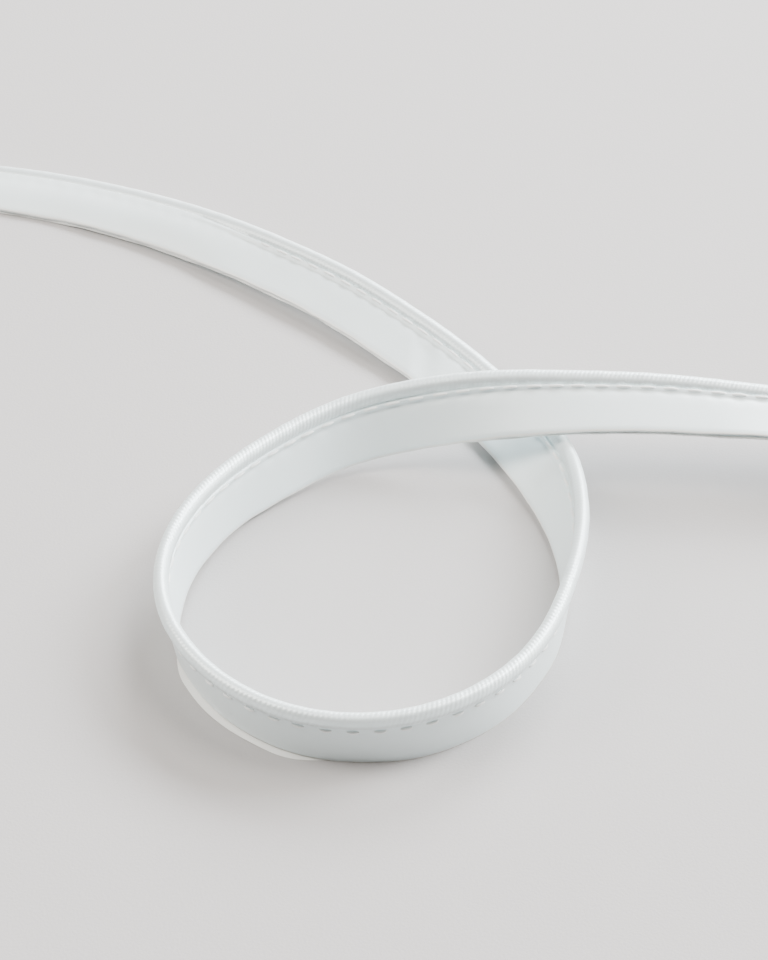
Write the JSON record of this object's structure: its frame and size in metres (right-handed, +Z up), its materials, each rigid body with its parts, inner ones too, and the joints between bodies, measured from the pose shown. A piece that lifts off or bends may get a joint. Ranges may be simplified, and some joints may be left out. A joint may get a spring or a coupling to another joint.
{
  "type": "satin piping trim",
  "caption": "Length of corded satin piping lying in one loop that crosses over itself, with a round corded edge and a flat lip.",
  "frame": {"origin": "middle of the footprint, on the surface the trim lies on", "axes": "+X along the longest reach of the tails, +Z up, -Y towards the loop"},
  "size_m": [0.1986, 0.1395, 0.0137],
  "materials": {
    "satin": "white satin, soft sheen"
  },
  "bodies": {
    "root": {"piping_trim": "satin"}
  },
  "joints": []
}
